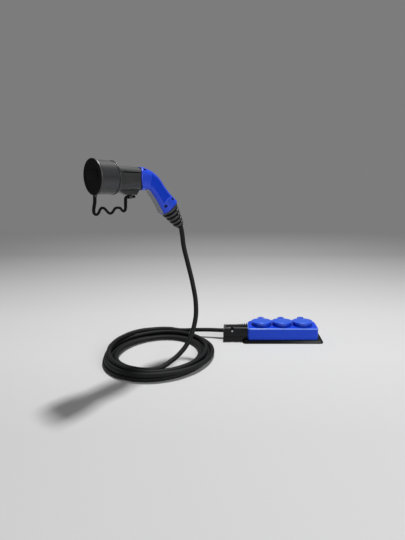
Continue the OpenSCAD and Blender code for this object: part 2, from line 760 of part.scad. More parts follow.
module hinge_lugs() for (side = [-1, 1]) {
    inner = spring_space / 2 + knuckle_len + lug_gap;
    translate([side * (inner + lug_t / 2), hinge_back, 0]) {
        translate([0, 0, hinge_z]) rotate([0, 90, 0]) cylinder(d = lug_d, h = lug_t, center = true);
        translate([-lug_t / 2, -lug_d / 2, housing_top - CUT])
            cube([lug_t, lug_d, hinge_z - housing_top + CUT]);
    }
}

module outlet_housing() color(BLUE) on_floor() difference() {
    inner_l = housing_l - 2 * housing_wall;
    inner_w = housing_w - 2 * housing_wall;
    union() {
        difference() {
            translate([0, 0, plate_t]) soft_block(
                housing_l, housing_w, housing_top - plate_t, housing_r, housing_back_r, housing_edge);
            translate([0, 0, plate_t - CUT]) linear_extrude(housing_top - housing_wall - plate_t + CUT)
                hull() at_corners(inner_l, inner_w, housing_r - housing_wall, housing_back_r - housing_wall)
                    circle($corner_r);
        }
        at_outlets() {
            translate([0, 0, housing_top - CUT]) cylinder(d = outlet_collar_d, h = outlet_collar_h + CUT);
            hinge_lugs();
        }
        for (p = base_screw_places) translate([p[0], p[1], plate_t])
            cylinder(d = corner_boss_d, h = housing_top - plate_t - CUT);
    }
    at_outlets() {
        translate([0, 0, housing_top - housing_wall - CUT])
            cylinder(d = socket_d + 2 * FIT, h = housing_wall + outlet_collar_h + 3 * CUT);
        translate([-pin_len / 2 - CUT, hinge_back, hinge_z]) rotate([0, 90, 0])
            cylinder(d = pin_d + 2 * PIN_RUN, h = pin_len + 2 * CUT);
    }
    for (p = base_screw_places) translate([p[0], p[1], plate_t - CUT])
        cylinder(d = base_screw_d + 2 * FIT, h = base_screw_len);
    translate([-housing_l / 2 - CUT, -outlet_shift - window_w / 2, bar_z - window_h / 2])
        cube([housing_wall + 2 * CUT, window_w, window_h + bar_t]);
}

module socket_insert(i) color(BLUE) on_floor() translate([outlets[i][0], outlets[i][1], 0]) difference() {
    union() {
        translate([0, 0, socket_bottom]) cylinder(d = socket_d, h = rim_top - socket_bottom);
        translate([0, 0, collar_top]) cylinder(d = rim_d, h = socket_rim_t);
        for (y = [-1, 1]) translate([0, y * pin_pitch / 2, boss_bottom])
            cylinder(d = tube_boss_d, h = socket_bottom - boss_bottom + CUT);
    }
    translate([0, 0, well_floor]) cylinder(d = well_d, h = well_depth + CUT);
    for (y = [-1, 1]) translate([0, y * pin_pitch / 2, boss_bottom - CUT]) {
        cylinder(d = tube_od + 2 * FIT, h = tube_top - boss_bottom + CUT);
        cylinder(d = tube_bore_d + guide_clear, h = well_floor - boss_bottom + 2 * CUT);
    }
    slit_h = clip_top - socket_bottom;
    for (x = [-1, 1]) translate([x * (clip_r + clip_t / 2), 0, socket_bottom - CUT + slit_h / 2])
        cube([2 * clip_bulge + 2 * clip_t, clip_w + 2 * CLEAR, slit_h + 4 * CUT], center = true);
}

module socket_insert_1() socket_insert(0);

module socket_insert_2() socket_insert(1);

module socket_insert_3() socket_insert(2);

module contact_tubes() color(BRASS) on_floor() at_outlets() for (y = [-1, 1])
    translate([0, y * pin_pitch / 2, tube_bottom]) ring(tube_od, tube_bore_d, tube_len);

// Each earth clip stands on the earth bar and bows into the plug well
module earth_clips() color(BRASS) on_floor() at_outlets() for (x = [0, 180]) rotate(x) {
    foot = bar_z + bar_t;
    translate([0, clip_w / 2, 0]) rotate([90, 0, 0]) linear_extrude(clip_w) polygon([
        [clip_r, foot], [clip_r + clip_t, foot], [clip_r + clip_t, clip_top], [clip_r, clip_top],
        [clip_r, clip_top - 1], [clip_r - clip_bulge, clip_top - clip_bulge_h / 2 - 1],
        [clip_r, clip_top - clip_bulge_h - 1]]);
}

module bar(y, holes) on_floor() difference() {
    right = outlets[outlet_count - 1][0] + (holes ? bar_w : clip_r + clip_t + 1);
    translate([bar_left, y - outlet_shift - bar_w / 2, bar_z]) cube([right - bar_left, bar_w, bar_t]);
    if (holes) for (o = outlets) translate([o[0], y - outlet_shift, bar_z - CUT])
        cylinder(d = bar_hole_d, h = bar_t + 2 * CUT);
    translate([block_from + block_len / 2, y - outlet_shift, bar_z - CUT])
        cylinder(d = screw_d + 2 * FIT, h = bar_t + 2 * CUT);
}

module live_bar() color(BRASS) bar(-pin_pitch / 2, true);

module neutral_bar() color(BRASS) bar(pin_pitch / 2, true);

module earth_bar() color(BRASS) bar(0, false);

module lid(i) color(BLUE) on_floor() translate([outlets[i][0], outlets[i][1], 0]) {
    reach = spring_space / 2;
    difference() {
        union() {
            hull() {
                translate([0, 0, lid_z]) cylinder(d = lid_d - 2 * lid_taper, h = lid_base_h);
                translate([0, 0, lid_z + lid_rim_h]) rotate([-lid_slope, 0, 0]) rotate_extrude() polygon([
                    [0, -lid_edge], [lid_d / 2, -lid_edge], [lid_d / 2 - lid_edge, 0],
                    [lid_d / 4, 0.8 * lid_dome], [0, lid_dome]]);
            }
            translate([-lid_tab_w / 2, -lid_d / 2 - lid_tab, lid_z])
                cube([lid_tab_w, lid_tab + 2, lid_rim_h / 2]);
            for (side = [-1, 1]) translate([side * (reach + knuckle_len / 2), 0, 0]) {
                translate([0, hinge_back, hinge_z]) rotate([0, 90, 0])
                    cylinder(d = knuckle_d, h = knuckle_len, center = true);
                translate([-knuckle_len / 2, lid_d / 2 - 2, lid_z + 0.5])
                    cube([knuckle_len, hinge_back - lid_d / 2 + 2, lid_arm_t]);
            }
            translate([0, hinge_back, hinge_z + spring_r + spring_wire / 2 + CLEAR + hood_t / 2])
                cube([spring_space + knuckle_len, knuckle_d, hood_t], center = true);
        }
        translate([0, 0, lid_z - CUT]) cylinder(d = lid_cup_d, h = lid_seal_t + CUT);
        translate([-pin_len / 2, hinge_back, hinge_z]) rotate([0, 90, 0])
            cylinder(d = pin_d + 2 * PIN_RUN, h = pin_len);
    }
}

module lid_1() lid(0);

module lid_2() lid(1);

module lid_3() lid(2);

module lid_seal(i) color(BLACK) on_floor() translate([outlets[i][0], outlets[i][1], lid_z])
    ring(lid_cup_d - 2 * FIT, lid_cup_d - 2 * lid_seal_w, lid_seal_t);

module lid_seal_1() lid_seal(0);

module lid_seal_2() lid_seal(1);

module lid_seal_3() lid_seal(2);

module hinge_pins() color(STEEL) on_floor() at_outlets() translate([-pin_len / 2, hinge_back, hinge_z])
    rotate([0, 90, 0]) cylinder(d = pin_d, h = pin_len);

module lid_springs() color(STEEL) on_floor() at_outlets() translate([0, hinge_back, hinge_z]) {
    width = spring_space - 2 * CLEAR - spring_wire;
    steps = spring_turns * SPRING_STEPS;
    tube([for (i = [0:steps]) let (q = 360 * i / SPRING_STEPS)
        [width * (i / steps - 0.5), spring_r * cos(q), spring_r * sin(q)]],
        spring_wire, [1, 0, 0], SPRING_SIDES);
}

// Outlines of the entry housing above its lower half: from the front, bevelled over the cable, then
// from the end
module entry_front() polygon([
    [entry_left, entry_low_h], [entry_right, entry_low_h], [entry_right, entry_h],
    [entry_left + entry_bevel, entry_h], [entry_left, entry_h - entry_bevel]]);

module entry_end() polygon([
    [-entry_w / 2, entry_low_h], [entry_w / 2, entry_low_h], [entry_w / 2, entry_h - entry_back_drop],
    [-entry_w / 2 + entry_top_w, entry_h], [-entry_w / 2 + entry_edge, entry_h],
    [-entry_w / 2, entry_h - entry_edge]]);

module entry_solid(wall) intersection() {
    translate([0, entry_w, 0]) rotate([90, 0, 0]) linear_extrude(2 * entry_w)
        offset(delta = -wall) entry_front();
    translate([entry_left, 0, 0]) rotate([90, 0, 90]) linear_extrude(entry_l)
        offset(delta = -wall) entry_end();
}

module entry_lower() color(BLACK) on_floor() {
    width = entry_w + 2 * entry_step;
    difference() {
        translate([entry_left, -width / 2, 0]) cube([entry_l, width, entry_low_h]);
        translate([entry_left + entry_wall, -entry_w / 2 + entry_wall, entry_wall])
            cube([entry_l - 2 * entry_wall, entry_w - 2 * entry_wall, entry_low_h]);
        translate([-plate_l / 2 - CLEAR, -plate_w / 2, -CUT]) cube([plate_l, plate_w, plate_t + CUT + FIT]);
        translate([entry_right - entry_wall - CUT, -outlet_shift - window_w / 2, bar_z - window_h / 2])
            cube([entry_wall + 2 * CUT, window_w, window_h + bar_t]);
        for (p = entry_screw_places) translate([p[0], p[1], -CUT]) {
            cylinder(d = entry_screw_d + 2 * FIT, h = entry_h);
            cylinder(d = 2 * entry_screw_d + 2 * CLEAR, h = entry_screw_seat + CUT);
        }
    }
    for (p = entry_screw_places) translate([p[0], p[1], entry_screw_seat])
        ring(entry_boss_d, entry_screw_d + 2 * FIT, entry_low_h - entry_screw_seat);
}

module entry_upper() color(BLACK) on_floor() difference() {
    union() {
        difference() {
            entry_solid(0);
            entry_solid(entry_wall);
            translate([entry_left + entry_wall, -entry_w / 2 + entry_wall, entry_low_h - CUT])
                cube([entry_l - 2 * entry_wall, entry_w - 2 * entry_wall, entry_wall + 2 * CUT]);
        }
        for (p = entry_screw_places) translate([p[0], p[1], entry_low_h])
            cylinder(d = entry_boss_d, h = entry_screw_len - entry_low_h + 6);
        for (i = [0:ridge_count - 1])
            translate([entry_right - 4 - i * ridge_pitch, -entry_w / 2 + ridge_from, entry_h - CUT])
                cube([ridge_pitch / 2, entry_top_w - ridge_from, CUT + ridge_h * (1 - i / ridge_count)]);
        translate([slot_x, -entry_w / 2 + CUT, slot_z]) rotate([-90, 0, 0])
            cylinder(d = entry_boss_d, h = side_boss_len);
    }
    for (p = entry_screw_places) translate([p[0], p[1], entry_low_h - CUT])
        cylinder(d = entry_screw_d + 2 * FIT, h = entry_screw_len - entry_low_h + 5);
    translate([entry_left - CUT, 0, entry_cable_h]) rotate([0, 90, 0])
        cylinder(d = cable_d + 2 * FIT, h = entry_wall + 2 * CUT);
    translate([slot_x - slot_w / 2, -entry_w / 2 - CUT, slot_z - 0.25 * slot_h])
        cube([slot_w, slot_depth + CUT, slot_h]);
    translate([slot_x, -entry_w / 2, slot_z]) rotate([-90, 0, 0])
        cylinder(d = screw_d + 2 * FIT, h = side_boss_len);
    translate([entry_right - entry_wall - CUT, -outlet_shift - window_w / 2, bar_z - window_h / 2])
        cube([entry_wall + 2 * CUT, window_w, window_h + bar_t]);
}

module entry_screws() color(STEEL) on_floor() for (p = entry_screw_places)
    translate([p[0], p[1], entry_screw_seat]) mirror([0, 0, 1])
        screw(entry_screw_d, 2 * entry_screw_d, entry_head_t, entry_screw_len);

module side_screw() color(STEEL) on_floor() translate([slot_x, -entry_w / 2 + slot_depth, slot_z])
    rotate([90, 0, 0]) screw(screw_d, 2 * screw_d, side_head_t, side_screw_len);

module entry_cable_clamp() color(BLACK) on_floor() difference() {
    translate([clamp_x, -clamp_w / 2, entry_wall])
        cube([clamp_len, clamp_w, entry_cable_h + cable_d / 2 + clamp_cap - entry_wall]);
    translate([clamp_x - CUT, 0, entry_cable_h]) rotate([0, 90, 0])
        cylinder(d = cable_d + 2 * FIT, h = clamp_len + 2 * CUT);
}

// Puts children on the three terminals' places, one for each busbar
module at_terminals(z) for (y = [-1, 0, 1])
    translate([block_from + block_len / 2, y * pin_pitch / 2 - outlet_shift, z]) children();

module terminal_block() color("#d8d6cc") on_floor() difference() {
    translate([block_from, -outlet_shift - block_w / 2, entry_wall])
        cube([block_len, block_w, bar_z - entry_wall]);
    at_terminals(entry_wall + block_floor) cylinder(d = screw_d + 2 * FIT, h = bar_z);
}

module terminal_screws() color(STEEL) on_floor() at_terminals(bar_z + bar_t)
    screw(screw_d, 2 * screw_d, terminal_head_t, bar_t + terminal_screw_len);

nose_housing();
contact_insert();
power_contacts();
signal_contacts();
coding_board();
nose_seal();
dust_cap();
cap_strap();
collar_ring();
collar_screw();
handle_left();
handle_right();
grip_inlay();
handle_screws();
gun_cable_clamp();
core_wires();
cable_boot();
cord_hang();
cord_coil();
cord_lead();
base_plate();
base_screws();
outlet_housing();
socket_insert_1();
socket_insert_2();
socket_insert_3();
contact_tubes();
earth_clips();
live_bar();
neutral_bar();
earth_bar();
lid_1();
lid_2();
lid_3();
lid_seal_1();
lid_seal_2();
lid_seal_3();
hinge_pins();
lid_springs();
entry_lower();
entry_upper();
entry_screws();
side_screw();
entry_cable_clamp();
terminal_block();
terminal_screws();
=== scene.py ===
"""Vehicle-to-load adapter lead, dressed on its CAD frame. Lengths are written in millimetres."""
import json
import math

import bmesh
import bpy
from mathutils import Matrix, Vector


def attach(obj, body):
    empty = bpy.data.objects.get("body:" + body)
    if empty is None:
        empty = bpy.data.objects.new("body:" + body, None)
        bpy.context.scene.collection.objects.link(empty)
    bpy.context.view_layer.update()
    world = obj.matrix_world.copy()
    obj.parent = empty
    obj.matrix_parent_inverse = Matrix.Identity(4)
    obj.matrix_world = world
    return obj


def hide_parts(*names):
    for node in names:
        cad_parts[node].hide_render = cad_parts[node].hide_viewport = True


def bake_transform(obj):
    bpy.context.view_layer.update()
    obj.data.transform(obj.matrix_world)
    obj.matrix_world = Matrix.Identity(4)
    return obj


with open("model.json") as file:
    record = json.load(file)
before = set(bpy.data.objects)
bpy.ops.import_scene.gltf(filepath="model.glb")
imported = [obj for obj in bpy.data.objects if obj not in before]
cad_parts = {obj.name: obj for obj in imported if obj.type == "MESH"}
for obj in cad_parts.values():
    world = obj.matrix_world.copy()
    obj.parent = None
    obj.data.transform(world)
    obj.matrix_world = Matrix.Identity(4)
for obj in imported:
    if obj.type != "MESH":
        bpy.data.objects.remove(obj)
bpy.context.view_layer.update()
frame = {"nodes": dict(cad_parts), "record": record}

MM = 0.001
TO_METRES = Matrix.Scale(MM, 4)
MERGE = 0.002
# Edges that turn by more degrees than this stay sharp, on new shapes and on the CAD's own
SHARP, SHARP_CAD = 35, 32
# The CAD's triangles that meet within this many degrees become one face
FLAT = 1
# Steps round a turned body, round a bar, over a rounded corner, and across and along a cord
TURNED_STEPS, ROD_STEPS, CORNER_STEPS = 72, 28, 3
CORD_ROUND, CORD_ALONG = 5, 6
# A flat grid reaches half a unit each way, so that what lies past this is its end
GRID_HALF, GRID_END = 0.5, 0.499

# The photograph's camera: its frame and lens in pixels, its place in metres
PHOTO_H = 540
FOCAL_PX = 350
AXIS_RIGHT_PX = 35.5
SENSOR = 36
CLIP = (0.02, 60)
CAMERA = Vector((-0.346, -0.639, -0.034))
HEADING = math.radians(40)
PITCH = math.radians(-12)
AHEAD = Vector((math.cos(HEADING), math.sin(HEADING), 0))

# The floor's height, and the outlet block's place and turn on it
FLOOR = -420
BLOCK = Vector((430, -145, FLOOR))
BLOCK_TURN = math.radians(-50)
ON_BLOCK = Matrix.Translation(BLOCK) @ Matrix.Rotation(BLOCK_TURN, 4, "Z")
OUTLETS = {"1": -56, "2": 0, "3": 56}
OUTLET_V = -1

# The handle's middle line: straight on from the collar, a bend, then straight down
HANDLE_X = 103
BEND_R = 38
DROP = math.radians(52)
BEND_LEN = BEND_R * DROP
HANDLE_LEN = BEND_LEN + 57.5
# Depth and width of its oval at the collar, half way along and at the end
HANDLE_H = (45, 37, 49.5)
HANDLE_W = (43, 34, 42)
OVAL_POWER = 2.6
SHELL = 2.8
END_ROUND = 2
# The cable's hole in its end, as shares of its width and depth
END_HOLE = (0.42, 0.36)
# A shell's steps along and around, how far they crowd towards the seam, and the seam's rounding in steps
HANDLE_GRID = (92, 32)
SEAM_CROWD = 0.85
SEAM_STEPS = 2
SEAM_SINK = 0.2
# The sunk side panel, and each step down its edge: inwards, depth
PANEL_FROM, PANEL_TO = 10, 70
PANEL_HALF = math.radians(30)
PANEL_STEPS = ((0.25, -0.15), (0.35, -1), (0.25, -0.25))
# The soft strip below: its ends, half angle, height, fall towards its edges, and how sharply it falls
GRIP_FROM, GRIP_TO = 14, 89
GRIP_HALF = math.radians(19)
GRIP_RISE, GRIP_FALL = 1.6, 0.9
GRIP_ENDS_POWER, GRIP_SIDES_POWER = 30, 10
GRIP_WALL = 1.5
GRIP_GRID = (60, 20)
# The handle's screws, and the holes for their heads from outside to inside
SCREW_D_ALONG = HANDLE_LEN - 14
SCREW_UP = 12.5
SCREW_HEAD_D = 6
SCREW_ROOM = 0.3
SCREW_HOLE_Y = (-30, -13)

# The sunk line along each side of the barrel, where shade is painted: its ends, its lower and upper edge, and
# its walls' depths
LINE_ENDS = (45.9, 87.1)
LINE_UP = (9.4, 12)
LINE_DEEP = (0.3, 1.2)
# The barrel: half width between its flat sides, and place and radius at its front and back
BARREL_FLAT = 22.5
BARREL_FROM, BARREL_TO = (38, 26.5), (95, 22.5)

# The collar, whose sides reach forward over the barrel
COLLAR_X = 95
COLLAR_WING = 9
COLLAR_CROWN = 3
COLLAR_RISE = 1
COLLAR_REACH = HANDLE_H[0] / 2 + COLLAR_RISE + 0.5
COLLAR_WALL = 1.6
COLLAR_GRID = (32, 96)
# Rounding of its front edge and of its edge to the handle, and how strongly each is drawn
COLLAR_FRONT_R, COLLAR_FRONT_SINK = 2, 0.6
COLLAR_BACK_R, COLLAR_BACK_SINK = 1.3, 2
GRUB_X = 98.6
GRUB_OUT = Vector((0, -math.sin(math.pi / 4), math.cos(math.pi / 4)))
GRUB_R = 3.35
GRUB_FROM, GRUB_TO = 18, 40

# The dust cap's section: along, out from its axis, rounding
CAP_SECTION = [(-5.2, 0, 0), (-5.2, 27.2, 0.5), (-5.8, 28.2, 0.4), (-5.8, 34, 1.6), (-0.8, 34, 1.4),
               (-0.8, 31.75, 0.7), (31.6, 31.75, 0.3), (32, 31, 0.2), (33, 31, 0.2), (33.4, 32.65, 0.6),
               (36.2, 32.65, 1.1), (36.2, 28.55, 0.6), (-0.8, 28.55, 0.6), (-0.8, 0, 0)]
# Corners and eased edge of its plain pad and of the strap's tab, and where the painted shade on its front
# face ends
CAP_PAD = ((-6.3, -19, -6), (-4.6, 19, 12), 0.5)
CAP_TAB = ((-5.6, -4.5, -37), (-1, 4.5, -31.5), 1.4)
CAP_SHADE_X, CAP_SHADE_R = -4.9, 33

# The boot: its neck in the handle, its bore, and a rib's corners: share of the pitch, depth, rounding
BOOT_LEN = 55
BOOT_R, BOOT_TIP_R = 22.5, 11
BOOT_NECK, BOOT_NECK_R = -7, 8.5
BOOT_BORE_R = 5.6
BOOT_FACE = 0.1
BOOT_TIP_ROUND, BOOT_BORE_ROUND = 0.8, 0.4
BOOT_RIBS = 5
RIB_DEPTH = 2.6
RIB_SECTION = ((0.01, 0, 1), (0.54, 0, 1.2), (0.6, RIB_DEPTH, 0.5), (0.96, RIB_DEPTH, 0.5))
# Painted shade in the grooves: where it starts along the boot, and the share of a rib's depth below which
# faces take it
GROOVE_SHADE_FROM = 1
GROOVE_SHADE_DEPTH = 0.4

# A lid, closed, and its section: up, out from its middle, rounding
LID_Z = 44.8
LID_R = 27.5
LID_TOP = LID_Z + 5.5
LID_SECTION = [(LID_Z + 2, 0, 0), (LID_Z + 2, 23.4, 0.3), (LID_Z, 23.4, 0.3), (LID_Z, 24.6, 0.4),
               (LID_Z + 3.5, 24.8, 0.3), (LID_Z + 3.8, LID_R, 0.4), (LID_TOP - 0.1, LID_R, 1),
               (LID_TOP + 0.25, 23.6, 0.4), (LID_TOP - 0.2, 22.8, 0.3), (LID_TOP + 0.5, 21.6, 0.5),
               (LID_TOP + 1.2, 12, 4), (LID_TOP + 1.6, 0, 0)]
# Its top slopes to the front: where the slope begins, and the height over which it grows
LID_SLOPE = math.tan(math.radians(5))
SLOPE_FROM, SLOPE_OVER = 2.2, 1.2
# Its hinge: pin, two knuckles on arms, and the hood over them; then its finger tab
HINGE = Vector((0, 31.5, 45.8))
KNUCKLE_D = 6.6
KNUCKLE_MID, KNUCKLE_HALF = 4, 1.5
ARM_FROM = LID_R - 5
ARM_LOW, ARM_HIGH, ARM_EDGE = LID_Z + 0.3, LID_Z + 2.4, 0.3
LID_HOOD = ((-4, HINGE.y - 3.3, HINGE.z + 2.1), (4, HINGE.y + 3.2, HINGE.z + 3.7), 0.8)
LID_TAB = ((-5.5, -LID_R - 2, LID_Z + 5.4), (5.5, -LID_R + 3, LID_Z + 7), 0.6)

# The cable: from the boot down to the floor, round the coil, and over to the outlet block
CABLE_D = 11
CABLE_IN_BOOT = 14
HANG = [(205, 0, -108.5), (207, 0, -118), (208, -1, -130), (208.5, -3, -150), (210, -16, -197),
        (209, -32, -244), (203, -47, -290), (191, -55, -327), (165, -58, -369), (141, -57, -388),
        (113, -54, -400), (88, -52, -405)]
COIL = (141.5, 23)
COIL_FROM = math.radians(220)
# Turns made so far, distance from the coil's middle, height above the floor
TURNS = [(0, 100.5, 15.5), (0.5, 100, 7), (1, 101, 5.5), (2, 112, 5.5), (3, 123, 5.5), (3.6, 129.5, 5.5),
         (3.75, 130, 9), (3.85, 128, 13), (3.95, 124.5, 16), (4.4, 119, 15.8), (5, 112, 16.3),
         (5.12, 112.5, 21.5), (5.25, 117, 26), (5.38, 123, 26), (5.5, 129.5, 20)]
STEPS_PER_TURN = 18
LEAD = [(259, 80, -403), (282, 48, -401), (305, 13, -399)]
# The mouth of the block's entry on the block, and the cable's places before and inside it
ENTRY = (-160, 0, 22)
ENTRY_STEPS = (-3, 20)

# On the outlet block, along, across and up: the box's top edge with its rounding, where a highlight is
# painted
BOX_TOP, BOX_EDGE = 39.5, 2.5
BOX_HALF_W, BOX_HALF_L = 34.5, 94.5
BOX_CORNER = 3 * BOX_EDGE
BOX_TOP_SKIN = 0.05
# The entry's front top edge, across and up, with the reach of its painted highlight, and the slot round the
# entry's side screw, whose walls carry painted shade
ENTRY_EDGE = (-26, 39)
ENTRY_HIGHLIGHT_REACH = 0.5
SLOT_U, SLOT_HALF_U = -136, 4.2
SLOT_V, SLOT_DEEP = -26.95, 2.4
SLOT_LOW = 25

# The strap's corners, in the plane of the connector: along, up, thickness
STRAP = [(-3.8, -35.5, 6.4), (-4.5, -45, 6.4), (-8.6, -64, 6), (-6.6, -69, 5.2), (-1.5, -69.5, 5),
         (7.5, -57.2, 5), (12.5, -57.2, 5), (24, -68.7, 5), (29, -67.5, 5), (37.5, -58, 5), (47.5, -58, 5),
         (54.5, -65.5, 5.2), (59, -63, 5.8), (61, -48, 6.4), (61.8, -39, 6.4), (65.5, -35.8, 6),
         (69.5, -36, 5.8), (83, -36, 5.8)]
# How far its corners are rounded, and the part of a short side that a rounding may take
STRAP_ROUND = 1.4
STRAP_SIDE_PART = 2.5

# Painted falloff of the lamps' light on the floor: its tone by distance ahead of the camera, in metres, and
# the backdrop's grey that it fades into
FLOOR_PAINTED_FALLOFF = [(0.5, 0.61), (0.8, 0.67), (1.1, 0.66), (1.34, 0.61), (1.7, 0.53), (2.3, 0.46), (3.5, 0.7)]
FLOOR_REACH = 5
FLOOR_HALF = 12
FLOOR_GAP = 0.0002
FLOOR_ROUGH, FLOOR_SHEEN = 0.9, 0.1
FADE_FROM, FADE_TO = 2.2, 4
BACKDROP = 0.202
# Lamps: name, direction that it shines from, distance, size, watts
LAMP_AT = Vector((0.05, 0, 0))
LAMPS = [("overhead_softbox", (0.258, 0.058, 0.964), 2.5, 0.22, 70),
         ("side_fill", (0.02, -0.95, 0.3), 1.9, 1, 14)]
FILL = 0.12

# A Mix node's sockets when it mixes colours
MIX_SHARE, MIX_LOW, MIX_HIGH, MIX_RESULT = 0, 6, 7, 2
# A polymer's drift in tone, its spread of gloss and its grain's strength, and a metal's spread of gloss
DRIFT = 45
GLOSS_SPREAD = 0.08
GRAIN_STRENGTH = 0.6
WEAR_DOWN, WEAR_UP = 0.1, 0.12


def spine(d):
    """Place on the handle's middle line, d along it, with +X along the line and +Z to its top side."""
    angle = min(max(d, 0) / BEND_R, DROP)
    past = d if d < 0 else max(d - BEND_LEN, 0)
    place = Vector((HANDLE_X + BEND_R * math.sin(angle) + past * math.cos(angle), 0,
                    -BEND_R * (1 - math.cos(angle)) - past * math.sin(angle)))
    return Matrix.Translation(place) @ Matrix.Rotation(angle, 4, "Y")


def linear(colour):
    """An sRGB hex colour as linear RGBA."""
    parts = [int(colour[i:i + 2], 16) / 255 for i in (1, 3, 5)]
    return [c / 12.92 if c <= 0.04045 else ((c + 0.055) / 1.055) ** 2.4 for c in parts] + [1]


def add(tree, kind, sockets=None, **settings):
    """Adds a node with its settings, and its inputs as values or links."""
    made = tree.nodes.new(kind)
    for key, value in settings.items():
        setattr(made, key, value)
    for key, value in (sockets or {}).items():
        if isinstance(value, bpy.types.NodeSocket):
            tree.links.new(value, made.inputs[key])
        else:
            made.inputs[key].default_value = value
    return made


def new_material(name):
    """A material with its node tree, its shader and the piece's own coordinates."""
    made = bpy.data.materials.new(name)
    made.use_nodes = True
    tree = made.node_tree
    return made, tree, tree.nodes["Principled BSDF"], add(tree, "ShaderNodeTexCoord").outputs["Object"]


def moulded(name, pale, deep, rough, grain, relief, level=0.5):
    """Moulded polymer: tone drifts slowly over a wall, and the tool's grain breaks the gloss."""
    made, tree, shader, where = new_material(name)
    slow = add(tree, "ShaderNodeTexNoise", {"Vector": where, "Scale": 1 / (DRIFT * MM), "Detail": 4})
    fine = add(tree, "ShaderNodeTexNoise", {"Vector": where, "Scale": 1 / (grain * MM), "Detail": 2})
    tone = add(tree, "ShaderNodeMix",
               {MIX_SHARE: slow.outputs[0], MIX_LOW: linear(deep), MIX_HIGH: linear(pale)}, data_type="RGBA")
    gloss = add(tree, "ShaderNodeMapRange",
                {"Value": fine.outputs[0], "To Min": rough - GLOSS_SPREAD, "To Max": rough + GLOSS_SPREAD})
    bump = add(tree, "ShaderNodeBump",
               {"Height": fine.outputs[0], "Distance": relief * MM, "Strength": GRAIN_STRENGTH})
    tree.links.new(tone.outputs[MIX_RESULT], shader.inputs["Base Color"])
    tree.links.new(gloss.outputs[0], shader.inputs["Roughness"])
    tree.links.new(bump.outputs[0], shader.inputs["Normal"])
    shader.inputs["Specular IOR Level"].default_value = level
    return made


def plated(name, pale, deep, rough, scratch):
    """Drawn or plated metal: fine lines of wear vary its gloss."""
    made, tree, shader, where = new_material(name)
    lines = add(tree, "ShaderNodeTexNoise", {"Vector": where, "Scale": 1 / (scratch * MM), "Detail": 5})
    tone = add(tree, "ShaderNodeMix",
               {MIX_SHARE: lines.outputs[0], MIX_LOW: linear(deep), MIX_HIGH: linear(pale)}, data_type="RGBA")
    gloss = add(tree, "ShaderNodeMapRange",
                {"Value": lines.outputs[0], "To Min": rough - WEAR_DOWN, "To Max": rough + WEAR_UP})
    tree.links.new(tone.outputs[MIX_RESULT], shader.inputs["Base Color"])
    tree.links.new(gloss.outputs[0], shader.inputs["Roughness"])
    shader.inputs["Metallic"].default_value = 1
    return made


# Grain is drawn a little coarser than the tool's own, so that it shows at the photograph's distance
FINISHES = {
    # Satin tool finish: a wide soft sheen on a strong blue
    "blue_plastic": moulded("satin_blue_abs", "#1C4AE0", "#1841CE", 0.36, 0.9, 0.03, 0.45),
    # Spark-eroded tool: an even grey haze over black
    "black_plastic": moulded("grained_black_polyamide", "#1B1C1E", "#151618", 0.45, 0.7, 0.05, 0.7),
    # Moulded rubber: a broad grey light along its rounds
    "black_rubber": moulded("dull_black_rubber", "#202124", "#19191B", 0.43, 0.6, 0.04, 0.8),
    # Extruded rubber: nearly black, with a thin line of light along it
    "cable_jacket": moulded("rubber_cable_sheath", "#0F1011", "#0A0B0C", 0.62, 1.2, 0.06, 0.3),
    # Soft overmoulding: matte mid grey
    "grip_rubber": moulded("soft_grey_grip", "#929396", "#808184", 0.6, 0.5, 0.06, 0.4),
    # Drawn tube: warm, with a bright streaked gloss
    "contact_brass": plated("drawn_brass", "#C9A55A", "#A88643", 0.3, 0.8),
    # Zinc plating: cool and slightly cloudy
    "screw_steel": plated("zinc_plated_steel", "#B9BDC2", "#8E9297", 0.34, 0.5),
    # Lacquered board: deep green under a clear gloss
    "circuit_board": moulded("solder_mask_board", "#2F7A4E", "#25623E", 0.35, 0.8, 0.02),
    # Extruded vinyl: even brown with a low sheen
    "wire_insulation": moulded("brown_wire_sleeve", "#7A4A2A", "#693E22", 0.45, 0.8, 0.02),
    # Unpainted nylon: warm white, slightly waxy
    "terminal_plastic": moulded("ivory_terminal_nylon", "#DAD8CC", "#CFCCBE", 0.45, 0.7, 0.03),
}
# Grained tool: a deeper blue without sheen
PANEL_BLUE = moulded("grained_blue_abs", "#0F40D2", "#0C38C2", 0.55, 0.9, 0.06, 0.12)
# Dark steel for the screws sunk in the handle and collar, with dull metal light
DARK_SCREW_STEEL = plated("dark_screw_steel", "#3A3B3D", "#262729", 0.45, 0.5)
# Near black and dull: the strap's own rubber, and painted shade on the cap's front face and in grooves, slots
# and sunk lines
BLACK_AND_PAINTED_SHADE = moulded("black_rubber_and_painted_shade", "#0E0E0F", "#0A0A0B", 0.75, 0.5, 0.05, 0.15)
# Polished tool: deep black with fine light lines on its edges
SMOOTH_BLACK = moulded("smooth_black_polyamide", "#0C0C0D", "#080809", 0.24, 0.7, 0.02, 0.25)
# Painted highlight along the entry's front top edge: a soft grey line on black
GREY_PAINTED_HIGHLIGHT = moulded("black_polyamide_painted_highlight", "#5A5C5F", "#4D4F52", 0.35, 0.7, 0.02)
# Polished tool: glossier than the handle, and paler as painted light falling on the lids from above
LID_BLUE_PAINTED_LIGHT = moulded("polished_blue_abs_painted_light", "#2A64EA", "#2459DC", 0.3, 0.9, 0.02, 0.7)
# Smooth box: deep blue with little sheen
BOX_BLUE = moulded("smooth_blue_abs", "#184CE2", "#1443D0", 0.34, 0.9, 0.02, 0.25)
# The box's rounded top edge: a painted highlight, a pale bright line
BLUE_PAINTED_HIGHLIGHT = moulded("blue_abs_painted_highlight", "#6E96F6", "#5F87EC", 0.3, 0.9, 0.01, 0.7)
SLOT_OF = {part["node"]: part["material_slot"] for part in frame["record"]["subparts"]}
BODY_OF = {node: body for body, nodes in frame["record"]["behaviour"]["bodies"].items() for node in nodes}


